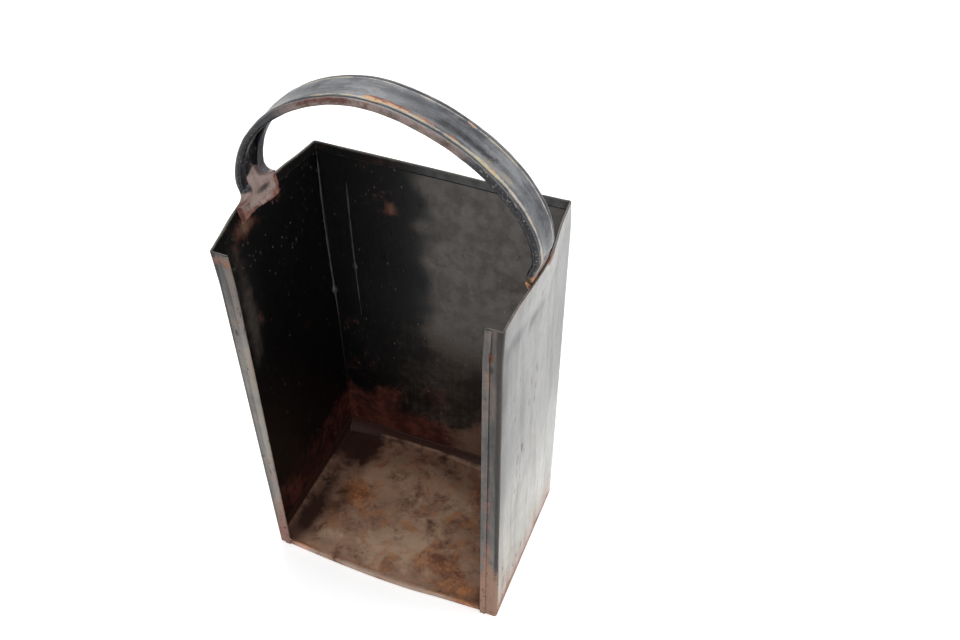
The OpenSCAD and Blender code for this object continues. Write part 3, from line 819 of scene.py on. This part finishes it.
# %% [markdown]
# ## Finishes
# All the finishes are built from the same few things: noises of a real size in
# millimetres, ramps that turn a noise into patches with a soft or a sharp edge, and the
# fields stored on the pieces. Each is a node, and wiring them one by one would hide what
# they are for. A small class gives each of them a short call, so that a finish reads as a
# list of layers from the metal up.
# %% A small kit for layered finishes
class Finish:
    """A material being built. Each method adds the nodes of one step and returns the output
    that the next step needs."""

    def __init__(self, name, **plain):
        self.material = bpy.data.materials.new(name)
        self.material.use_nodes = True
        self.nodes = self.material.node_tree.nodes
        self.links = self.material.node_tree.links
        self.shader = self.nodes["Principled BSDF"]
        self.place = self.nodes.new("ShaderNodeTexCoord").outputs["Object"]
        for socket, value in plain.items():
            self.shader.inputs[socket.replace("_", " ")].default_value = value

    def add(self, kind, inputs, **settings):
        """Any node. An input is linked if it is given a socket, and set if it is a value."""
        node = self.nodes.new("ShaderNode" + kind)
        for name, value in settings.items():
            setattr(node, name, value)
        for socket, value in inputs.items():
            if isinstance(value, bpy.types.NodeSocket):
                self.links.new(value, node.inputs[socket])
            else:
                node.inputs[socket].default_value = value
        return node

    def field(self, name):
        """A value that is stored at each point of the piece."""
        return self.add("Attribute", {}, attribute_name=name).outputs["Fac"]

    def along(self, first, second):
        """Makes two stored lengths in metres the place that the next noises read."""
        place = self.add("CombineXYZ", {"X": self.field(first), "Y": self.field(second)})
        self.place = place.outputs["Vector"]

    def moved(self, stretch, shift):
        """The place, squeezed by stretch and moved aside, so that no two noises are alike."""
        inputs = {"Vector": self.place, "Scale": stretch, "Location": (shift, 2 * shift, -shift)}
        return self.add("Mapping", inputs).outputs["Vector"]

    def noise(self, size, detail=5, rough=0.6, stretch=(1, 1, 1), shift=0.0, warp=0.0):
        """Clouds whose large patches are about size millimetres apart, which takes 0.6 of
        the noise's own unit."""
        inputs = {"Vector": self.moved(stretch, shift), "Scale": 600 / size, "Detail": detail,
                  "Roughness": rough, "Distortion": warp}
        return self.add("TexNoise", inputs).outputs["Fac"]

    def spots(self, size, share, reach=0.32, stretch=(1, 1, 1), shift=0.0):
        """Round specks, at most one in each cell of size millimetres, in a share of the cells."""
        inputs = {"Vector": self.moved(stretch, shift), "Scale": 1000 / size, "Randomness": 1.0}
        cell = self.add("TexVoronoi", inputs)
        near = self.ramp(cell.outputs["Distance"], reach, reach * 0.55)
        split = self.add("SeparateColor", {"Color": cell.outputs["Color"]})
        chosen = self.ramp(split.outputs["Red"], share, share - 0.02)
        return self.times(near, chosen)

    def ramp(self, value, low, high):
        """Eases from 0 to 1 as the value goes from low to high."""
        inputs = {"Value": value, "From Min": low, "From Max": high}
        if high < low:
            inputs = {"Value": value, "From Min": high, "From Max": low, "To Min": 1.0, "To Max": 0.0}
        return self.add("MapRange", inputs, interpolation_type="SMOOTHSTEP").outputs["Result"]

    def calc(self, operation, first, second, clamp=False):
        """One sum on two numbers. clamp holds the result between 0 and 1."""
        node = self.add("Math", {0: first, 1: second}, operation=operation, use_clamp=clamp)
        return node.outputs["Value"]

    def times(self, first, second):
        return self.calc("MULTIPLY", first, second)

    def weigh(self, *pairs):
        """The sum of each value times its weight."""
        total = self.times(*pairs[0])
        for value, weight in pairs[1:]:
            node = self.add("Math", {0: value, 1: weight, 2: total}, operation="MULTIPLY_ADD")
            total = node.outputs["Value"]
        return total

    def over(self, share, under, top):
        """One colour laid over another, by a share from 0 to 1."""
        colours = {6: under, 7: top}
        inputs = {k: (*v, 1.0) if isinstance(v, tuple) else v for k, v in colours.items()}
        node = self.add("Mix", {0: share, **inputs}, data_type="RGBA")
        return node.outputs[2]

    def level(self, share, under, top):
        """The same for a plain number, such as a roughness."""
        inputs = {"Value": share, "To Min": under, "To Max": top}
        return self.add("MapRange", inputs).outputs["Result"]

    def finish(self, colour, roughness, *reliefs):
        """Links the colour and the roughness, and a bump for each relief of (height, millimetres)."""
        self.links.new(colour, self.shader.inputs["Base Color"])
        self.links.new(roughness, self.shader.inputs["Roughness"])
        normal = None
        for height, depth in reliefs:
            inputs = {"Height": height, "Distance": depth * MM}
            if normal:
                inputs["Normal"] = normal
            normal = self.add("Bump", inputs).outputs["Normal"]
        if normal:
            self.links.new(normal, self.shader.inputs["Normal"])
        return self.material


# %% [markdown]
# ### Black paint on the body
# The paint was a glossy black stoving enamel. Inside it is still nearly black, with a thin
# haze of dust that is partly a painted reflection. Outside it is scratched, blistered and
# dusty, and rust breaks through from the folds. The dust outside also carries painted light:
# a sheen on the right wall, highlights along the top edge, and shade along the crease and
# in the returns' grooves. Four separate materials could be cut along the edges of the
# patches, but wear has no such edges. So one material is laid up in the order that time laid
# it, and each layer's share is a stored field roughened by noise.
# %% Finish of the body
BLACK = (0.0009, 0.0009, 0.0010)
SOOT = (0.016, 0.015, 0.014)
# inside dust, which on the back also stands in for a painted reflection
WARM_DUST_AND_REFLECTION = (0.062, 0.051, 0.042)
# outside dust, which also makes the painted sheen on the right wall and the painted highlights along the
# top edge
PALE_DUST_AND_SHEEN = (0.195, 0.192, 0.187)
CHALKY_DUST_AND_SHEEN = (0.30, 0.285, 0.24)
TAN_DUST = (0.29, 0.195, 0.145)
MAROON = (0.034, 0.006, 0.0035)
RED_BROWN = (0.085, 0.022, 0.0125)
PINK_RUST = (0.29, 0.160, 0.138)
TAN_RUST = (0.35, 0.215, 0.155)
DULL_PINK = (0.15, 0.055, 0.042)
DULL_TAN = (0.14, 0.082, 0.055)
SCRAPED = (0.04, 0.037, 0.034)
CHIPPED = (0.04, 0.032, 0.028)
PALE_FLECK = (0.24, 0.22, 0.20)


def body_paint():
    """Black, then dust, which also carries painted reflection, sheen, highlights and shade, then
    short dark strokes and chips, then rust from the fields, then pale flecks. The coat is the
    enamel's shine, taken away by all that lies over it."""
    f = Finish("black_enamel_rusted", IOR=1.3, Coat_Roughness=0.26, Coat_IOR=1.6)
    rust_field, warm, film = f.field("rust"), f.field("warm"), f.field("film")
    pits, inner = f.field("pits"), f.field("inner")
    cloud, blotch = f.noise(46, 6, 0.62), f.noise(13, 6, 0.66, shift=2.3, warp=0.3)
    grain, fine = f.noise(3.6, 6, 0.7, shift=3.1), f.noise(1.1, 3, shift=7.7)
    streak = f.noise(6, 6, 0.65, stretch=(1, 1, 0.10), shift=1.3)
    scratch = f.noise(2.0, 4, 0.6, stretch=(1, 1, 0.05), shift=4.1)
    mottle = f.noise(6.5, 5, 0.6, shift=8.8, warp=0.4)
    hazy = f.weigh((film, 1.0), (cloud, 0.4), (blotch, 0.7), (mottle, 0.6), (scratch, 0.4), (grain, 0.3))
    streaky = f.weigh((film, 1.0), (cloud, 0.4), (blotch, 0.4), (streak, 0.8), (scratch, 0.7), (grain, 0.2))
    # dust and painted light from the film, with pitted gaps inside and tanned by rust outside
    dust_and_sheen = f.ramp(f.level(inner, streaky, hazy), 1.42, 2.22)
    gaps = f.times(f.spots(3.4, 0.5, reach=0.34, stretch=(1, 1, 0.6), shift=3.7), f.ramp(pits, 0.6, 1.0))
    inside = f.over(f.times(dust_and_sheen, f.level(gaps, 1.0, 0.1)), BLACK, WARM_DUST_AND_REFLECTION)
    thick = f.ramp(f.weigh((film, 0.5), (cloud, 0.6), (blotch, 0.4)), 0.82, 1.0)
    tanned = f.ramp(f.weigh((warm, 0.9), (blotch, 0.5), (streak, 0.5)), 0.80, 1.15)
    chalk = f.over(tanned, f.over(thick, PALE_DUST_AND_SHEEN, CHALKY_DUST_AND_SHEEN), TAN_DUST)
    outside = f.over(dust_and_sheen, SOOT, chalk)
    colour = f.over(inner, outside, inside)
    # short upright strokes and small chips, on the outside only
    strokes = f.spots(8, 0.7, reach=0.21, stretch=(1, 1, 0.4), shift=9.4)
    strokes = f.times(strokes, f.ramp(f.weigh((pits, 1.0), (cloud, 0.8)), 0.58, 0.74))
    strokes = f.times(strokes, f.level(inner, 0.8, 0.0))
    colour = f.over(strokes, colour, SCRAPED)
    nick = f.noise(3.2, 5, 0.65, stretch=(1, 1, 0.4), shift=5.0)
    chips = f.ramp(f.weigh((pits, 0.45), (nick, 1.0)), 0.79, 0.86)
    colour = f.over(f.times(chips, f.level(inner, 0.9, 0.0)), colour, CHIPPED)
    # rust, dark where the warm field is low and pink or tan where it is high
    worn = f.weigh((rust_field, 0.9), (cloud, 0.3), (blotch, 0.8), (streak, 0.3), (grain, 0.6))
    rust = f.level(inner, f.ramp(worn, 1.18, 1.47), f.ramp(worn, 1.10, 1.52))
    redder = f.ramp(f.weigh((blotch, 0.6), (mottle, 0.4), (grain, 0.2)), 0.52, 0.72)
    dark_rust = f.over(redder, MAROON, RED_BROWN)
    pink = f.over(inner, PINK_RUST, DULL_PINK)
    tan = f.over(inner, TAN_RUST, DULL_TAN)
    light_rust = f.over(f.ramp(f.weigh((cloud, 0.5), (streak, 0.5)), 0.46, 0.56), pink, tan)
    light_rust = f.over(f.ramp(grain, 0.54, 0.70), light_rust, RED_BROWN)
    warmth = f.ramp(f.weigh((warm, 1.0), (blotch, 0.6), (grain, 0.4)), 0.65, 1.1)
    colour = f.over(rust, colour, f.over(warmth, dark_rust, light_rust))
    # pale flecks and crumbs, on the inside only
    flecks = f.spots(6, 0.5, reach=0.11, stretch=(1, 1, 0.45), shift=2.2)
    crumbs = f.spots(3.4, 0.4, reach=0.26, stretch=(1, 1, 0.6), shift=6.1)
    crumbly = f.ramp(f.weigh((pits, 0.5), (blotch, 0.8)), 0.62, 0.9)
    speckle = f.weigh((flecks, 0.7), (f.times(crumbs, crumbly), 0.4))
    colour = f.over(f.times(speckle, f.level(inner, 0.0, 0.6)), colour, PALE_FLECK)
    # the shine that is left
    worn_inside = f.ramp(f.weigh((blotch, 0.5), (mottle, 0.5), (streak, 0.2)), 0.50, 0.70)
    worn_outside = f.ramp(f.weigh((streak, 0.7), (scratch, 0.4), (mottle, 0.2)), 0.56, 0.78)
    worn_gloss = f.level(inner, worn_outside, worn_inside)
    dull = f.weigh((rust, 1.0), (worn_gloss, 0.65), (chips, 0.6), (strokes, 0.9))
    shine = f.calc("SUBTRACT", 1.0, dull, clamp=True)
    f.links.new(f.times(f.field("gloss"), shine), f.shader.inputs["Coat Weight"])
    roughness = f.weigh((dust_and_sheen, 0.14), (rust, 0.30), (fine, 0.10), (blotch, 0.16), (pits, 0.34), (0.08, 1.0))
    return f.finish(colour, roughness, (cloud, 0.5), (blotch, 0.14), (streak, 0.05), (chips, -0.03),
                    (rust, 0.10), (grain, 0.05), (fine, 0.02))


# %% [markdown]
# ### Rust on the floor
# The floor lost its paint long ago. It is brown all over, rubbed pale where things were
# dragged across it, paler still under a painted pool of light in the middle of the front,
# darkened by grime and by painted shade towards the left, the back and the upturned edges,
# and orange where scale is growing. One brown with a rough bump would look like clay, so the
# metal has clouds of four sizes, and each later layer breaks up along the same clouds, as
# real rust does.
# %% Finish of the floor pan
DARK_BROWN, LIGHT_BROWN, BUFF = (0.14, 0.066, 0.043), (0.41, 0.245, 0.165), (0.56, 0.36, 0.22)
# rubbed metal, and the painted pool of light in the middle of the front
RUBBED_AND_LIT_BUFF = (0.56, 0.385, 0.265)
WARM_DARK, WARM_LIGHT = (0.17, 0.05, 0.026), (0.46, 0.20, 0.095)
SCALE_DARK, SCALE_LIGHT = (0.26, 0.085, 0.034), (0.54, 0.22, 0.085)
# grime colours, which also paint the shade on the left, at the back and up the upturned edges
THIN_GRIME_AND_SHADE, THICK_GRIME_AND_SHADE = (0.075, 0.036, 0.025), (0.034, 0.012, 0.008)
LIP_BUFF, LIP_SALMON = (0.50, 0.36, 0.28), (0.72, 0.39, 0.29)
PIT_BROWN = (0.09, 0.04, 0.026)


def floor_rust():
    """Brown metal in clouds of four sizes, then pale rubbing with a painted pool of light, warm
    rust, orange scale, grime with painted shade, the lip's own colours and small pits."""
    f = Finish("rubbed_brown_rust", IOR=1.35)
    dark, pale, orange, lip = f.field("dark"), f.field("pale"), f.field("orange"), f.field("lip")
    cloud, blotch = f.noise(38, 5, 0.6, warp=0.5), f.noise(14, 6, 0.68, shift=4.4, warp=0.5)
    patch, grain = f.noise(6, 6, 0.7, shift=2.9, warp=0.3), f.noise(2.2, 5, 0.7, shift=9.1)
    drift, fine = f.noise(20, 6, 0.7, shift=7.3, warp=0.8), f.noise(0.8, 3, shift=5.2)
    mixed = f.weigh((cloud, 0.5), (blotch, 0.5), (patch, 0.4), (grain, 0.1))
    colour = f.over(f.ramp(mixed, 0.58, 0.76), DARK_BROWN, LIGHT_BROWN)
    colour = f.over(f.ramp(mixed, 0.77, 0.88), colour, BUFF)
    # pale rubbing, and a painted pool of light in the middle of the front
    rubbed_and_lit = f.ramp(f.weigh((pale, 0.5), (blotch, 0.7), (patch, 0.7), (grain, 0.2)), 0.92, 1.16)
    colour = f.over(f.times(rubbed_and_lit, 0.8), colour, RUBBED_AND_LIT_BUFF)
    warm = f.ramp(f.weigh((orange, 0.3), (drift, 1.0), (patch, 0.5)), 0.78, 0.92)
    warm_tone = f.over(f.ramp(patch, 0.42, 0.6), WARM_DARK, WARM_LIGHT)
    colour = f.over(f.times(warm, 0.72), colour, warm_tone)
    scale = f.ramp(f.weigh((orange, 0.55), (blotch, 0.7), (patch, 0.5), (grain, 0.2)), 0.86, 1.14)
    fresh = f.over(f.ramp(f.weigh((patch, 0.6), (grain, 0.5)), 0.46, 0.66), SCALE_DARK, SCALE_LIGHT)
    colour = f.over(f.times(scale, 0.78), colour, fresh)
    # grime, and painted shade on the left, at the back and up the upturned edges
    grime_and_shade = f.weigh((dark, 0.75), (cloud, 0.4), (blotch, 0.7), (patch, 0.5), (grain, 0.1))
    grime_and_shade = f.ramp(grime_and_shade, 0.98, 1.46)
    colour = f.over(grime_and_shade, colour, f.over(f.ramp(grime_and_shade, 0.3, 1.0), THIN_GRIME_AND_SHADE, THICK_GRIME_AND_SHADE))
    colour = f.over(f.times(lip, f.ramp(blotch, 0.35, 0.6)), colour, LIP_BUFF)
    salmon = f.times(lip, f.ramp(f.weigh((orange, 1.0), (patch, 0.4)), 0.8, 1.1))
    colour = f.over(salmon, colour, LIP_SALMON)
    pits = f.spots(2.6, 0.4, reach=0.2, shift=1.7)
    colour = f.over(f.times(pits, 0.3), colour, PIT_BROWN)
    roughness = f.level(f.weigh((rubbed_and_lit, -0.4), (grain, 0.5)), 0.5, 0.85)
    return f.finish(colour, roughness, (blotch, 0.4), (patch, 0.22), (grain, 0.12), (pits, -0.12),
                    (fine, 0.04))


# %% [markdown]
# ### Worn paint on the strap
# The hand has polished the strap's paint to a satin grey. On the ridges it is through to
# the primer, and the rolled edge at the front is rusty. Noises that read the place in the
# room would run straight through the arch, like the grain of a sawn plank. This wear
# follows the strap, so they read the distance along it and across it, stored on the mesh.
# %% Finish of the strap
DARK_SATIN, WORN_SATIN, THICK_PAINT = (0.040, 0.043, 0.052), (0.185, 0.19, 0.20), (0.012, 0.013, 0.017)
# bloom colours, which on the front rolled edge also paint a highlight
PINK_BLOOM_AND_HIGHLIGHT, BROWN_BLOOM_AND_HIGHLIGHT = (0.37, 0.275, 0.25), (0.25, 0.185, 0.165)
MAUVE_RUST, ROSE_RUST = (0.10, 0.036, 0.028), (0.27, 0.125, 0.10)
ORANGE_DARK, ORANGE_LIGHT = (0.26, 0.10, 0.05), (0.58, 0.32, 0.18)
# a stain colour that also paints the shade of the crease on the left tab
STAIN_AND_CREASE_SHADE, PALE_GRIT = (0.050, 0.038, 0.026), (0.36, 0.33, 0.30)
CREAM, YELLOW_CREAM, BROWN_CREAM = (0.47, 0.42, 0.39), (0.48, 0.42, 0.27), (0.36, 0.24, 0.16)


def strap_paint():
    """Satin paint, pale bloom that is also a painted highlight on the front rolled edge, rust,
    stains and painted crease shade on the bloom, soft dark mottling, pale grit where the
    paint is dark, and the rubbed ridges on top."""
    f = Finish("hand_worn_satin_paint", IOR=1.38)
    rub, rust_field, warm = f.field("rub"), f.field("rust"), f.field("warm")
    dark, light = f.field("dark"), f.field("light")
    f.along("along", "across")
    cloud = f.noise(18, 5, 0.6, stretch=(0.5, 1, 1))
    patch = f.noise(5.5, 6, 0.7, stretch=(0.6, 1, 1), shift=3.3)
    chip, fine = f.noise(2.6, 5, 0.65, stretch=(0.7, 1, 1), shift=5.9), f.noise(0.9, 4, 0.65, shift=8.1)
    scuff = f.noise(1.5, 5, 0.6, stretch=(0.06, 1, 1), shift=6.0)
    worn = f.ramp(f.weigh((cloud, 0.8), (patch, 0.45), (scuff, 0.25), (chip, 0.2)), 0.74, 0.98)
    colour = f.over(worn, DARK_SATIN, WORN_SATIN)
    # pale bloom, and a painted highlight along the front rolled edge
    bloom_and_highlight = f.ramp(f.weigh((light, 0.8), (cloud, 0.3), (patch, 0.6), (chip, 0.4)), 0.84, 1.2)
    colour = f.over(bloom_and_highlight, colour, f.over(f.ramp(patch, 0.4, 0.62), PINK_BLOOM_AND_HIGHLIGHT, BROWN_BLOOM_AND_HIGHLIGHT))
    rust = f.ramp(f.weigh((rust_field, 1.0), (cloud, 0.3), (patch, 0.7), (chip, 0.6)), 1.06, 1.26)
    pink = f.over(f.ramp(patch, 0.42, 0.60), MAUVE_RUST, ROSE_RUST)
    orange = f.over(f.ramp(chip, 0.40, 0.60), ORANGE_DARK, ORANGE_LIGHT)
    warmth = f.ramp(f.weigh((warm, 1.0), (cloud, 1.0)), 0.6, 0.85)
    colour = f.over(rust, colour, f.over(warmth, pink, orange))
    # stains, and painted shade of the crease on the left tab
    stain_and_shade = f.times(f.times(f.ramp(f.weigh((dark, 1.0), (patch, 0.3)), 0.26, 0.62), bloom_and_highlight), 0.75)
    colour = f.over(stain_and_shade, colour, STAIN_AND_CREASE_SHADE)
    mottle = f.weigh((dark, 0.9), (cloud, 0.4), (patch, 0.9), (chip, 0.5), (fine, 0.2))
    mottle = f.times(f.ramp(mottle, 1.14, 1.50), f.level(bloom_and_highlight, 1.0, 0.55))
    colour = f.over(mottle, colour, THICK_PAINT)
    grit = f.times(f.ramp(f.weigh((fine, 1.0), (chip, 0.5)), 0.80, 0.92), f.ramp(dark, 0.36, 0.78))
    colour = f.over(f.times(grit, 0.65), colour, PALE_GRIT)
    bare = f.ramp(f.weigh((rub, 0.56), (cloud, 0.5), (patch, 0.9), (chip, 0.8), (fine, 0.3)), 1.54, 1.86)
    primer = f.over(f.ramp(cloud, 0.42, 0.58), CREAM, YELLOW_CREAM)
    primer = f.over(f.ramp(chip, 0.53, 0.66), primer, BROWN_CREAM)
    colour = f.over(f.times(bare, 0.85), colour, primer)
    rougher = f.weigh((rust, 0.3), (bloom_and_highlight, 0.12), (fine, 0.12), (mottle, -0.03))
    roughness = f.calc("ADD", rougher, 0.30)
    return f.finish(colour, roughness, (cloud, 0.12), (patch, 0.14), (mottle, -0.08), (scuff, 0.05),
                    (rust, 0.1))


# %% [markdown]
# ### Painted solder
# Solder is bright tin, but these runs went under the same black paint and the same dust.
# Beads in the body's own paint would vanish against the wall, so they get a plain finish
# that is a little paler.
# %% Finish of the solder, and each piece's finish
SOLDER_BLACK, SOLDER_GREY = (0.010, 0.010, 0.010), (0.032, 0.031, 0.029)


def painted_solder():
    """Black paint with thin grey places, uneven in its roughness."""
    f = Finish("painted_solder", IOR=1.5)
    cloud, fine = f.noise(18, 4), f.noise(1.5, 4, shift=2.0)
    colour = f.over(f.ramp(cloud, 0.42, 0.6), SOLDER_BLACK, SOLDER_GREY)
    roughness = f.level(fine, 0.35, 0.6)
    return f.finish(colour, roughness, (fine, 0.08))


body.data.materials.append(body_paint())
pan.data.materials.append(floor_rust())
handle.data.materials.append(strap_paint())
solder_finish = painted_solder()
for run in solder_runs:
    run.data.materials.append(solder_finish)
print("finishes", [m.name for m in bpy.data.materials if m.users])

# %% [markdown]
# ## Joining the imported model
# Nothing moves on this object, so each piece rides the one body. The imported nodes could
# stay and carry the finishes, but their faces are long and plain, with no points to hold
# the wear. So each sheet metal piece stands in for its imported node, and the solder runs
# are added beside them.
# %% Ride and replace
for piece, node, slot in ((body, "body", "body_paint"), (pan, "floor_pan", "pan_rust"),
                          (handle, "handle", "strap_paint")):
    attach(piece, "root")
    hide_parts(node)
for run in solder_runs:
    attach(run, "root")

# %% [markdown]
# ## Floor, light and camera
# The bucket stands on a pale floor in soft studio light. A floor lit by lamps alone would
# be grey against the white room. So the floor's colour is lifted to white where the camera
# or a reflection sees it, and the shadow is kept, because the lifted part is added to what
# the lamps give.
# %% The pale floor
def pale_floor():
    """A plane that fades into the pale world: diffuse, plus a little light of its own that
    only camera, mirror and glass rays see."""
    bpy.ops.mesh.primitive_plane_add(size=30, location=(0, 0, -0.0002))
    floor = bpy.context.object
    floor.name = "pale_floor"
    f = Finish("pale_floor")
    f.shader.inputs["Base Color"].default_value = (0.82, 0.82, 0.82, 1.0)
    f.shader.inputs["Roughness"].default_value = 0.9
    path = f.add("LightPath", {})
    seen = f.calc("ADD", path.outputs["Is Camera Ray"], path.outputs["Is Glossy Ray"])
    seen = f.calc("ADD", seen, path.outputs["Is Transmission Ray"], clamp=True)
    f.shader.inputs["Emission Color"].default_value = (1.0, 1.0, 1.0, 1.0)
    f.links.new(f.times(seen, 0.5), f.shader.inputs["Emission Strength"])
    floor.data.materials.append(f.material)


pale_floor()


# %% [markdown]
# One strong lamp would leave the inside of the box pitch black and give hard shadows. The
# white room fills everything softly, and three wide lamps shape it: one from behind, one
# from the right, and a weak one in front.
# %% World and lamps
def pale_world():
    """White for the camera and for reflections, softer for the light on matt surfaces."""
    world = bpy.data.worlds.new("pale_room")
    bpy.context.scene.world = world
    world.use_nodes = True
    nodes, links = world.node_tree.nodes, world.node_tree.links
    path = nodes.new("ShaderNodeLightPath")
    either = nodes.new("ShaderNodeMath")
    either.operation = "ADD"
    either.use_clamp = True
    links.new(path.outputs["Is Camera Ray"], either.inputs[0])
    links.new(path.outputs["Is Glossy Ray"], either.inputs[1])
    strength = nodes.new("ShaderNodeMapRange")
    strength.inputs["To Min"].default_value = 0.55
    strength.inputs["To Max"].default_value = 1.0
    links.new(either.outputs["Value"], strength.inputs["Value"])
    background = nodes["Background"]
    background.inputs["Color"].default_value = (1.0, 1.0, 1.0, 1.0)
    links.new(strength.outputs["Result"], background.inputs["Strength"])


def soft_lamp(name, at, aim, size, power):
    """A square soft box at a place, turned to face its aim."""
    light = bpy.data.lights.new(name, "AREA")
    light.size, light.energy = size, power
    lamp = bpy.data.objects.new(name, light)
    lamp.location = at
    lamp.rotation_euler = (Vector(aim) - Vector(at)).to_track_quat("-Z", "Y").to_euler()
    lamp.visible_camera = False
    bpy.context.scene.collection.objects.link(lamp)


pale_world()
soft_lamp("window_behind", (-0.5, 1.2, 1.6), (0, 0, 0.3), 1.1, 17)
soft_lamp("window_right", (1.5, 0.5, 1.3), (0, 0, 0.2), 1.0, 14)
soft_lamp("front_fill", (0.5, -1.3, 1.4), (0, 0, 0.1), 1.2, 9)


# %% [markdown]
# The camera stands in front, to the right and above, where it sees the floor, the dark
# inside and the right wall at once. Its place and its aim are two points, because a
# direction between two points is easier to change than three angles.
# %% Camera at the side and height that shows the inside
def look(location, aim, lens):
    """A camera at a place, turned to face its aim. lens is its focal length in millimetres."""
    camera = bpy.data.objects.new("camera", bpy.data.cameras.new("camera"))
    bpy.context.scene.collection.objects.link(camera)
    camera.location = location
    camera.rotation_euler = (Vector(aim) - Vector(location)).to_track_quat("-Z", "Y").to_euler()
    camera.data.lens = lens
    camera.data.sensor_width = 36.0
    bpy.context.scene.camera = camera


look((0.2501, -0.4681, 0.7512), (0.0638, 0.0001, 0.2653), 37.57)
bpy.context.scene.view_settings.view_transform = "Standard"
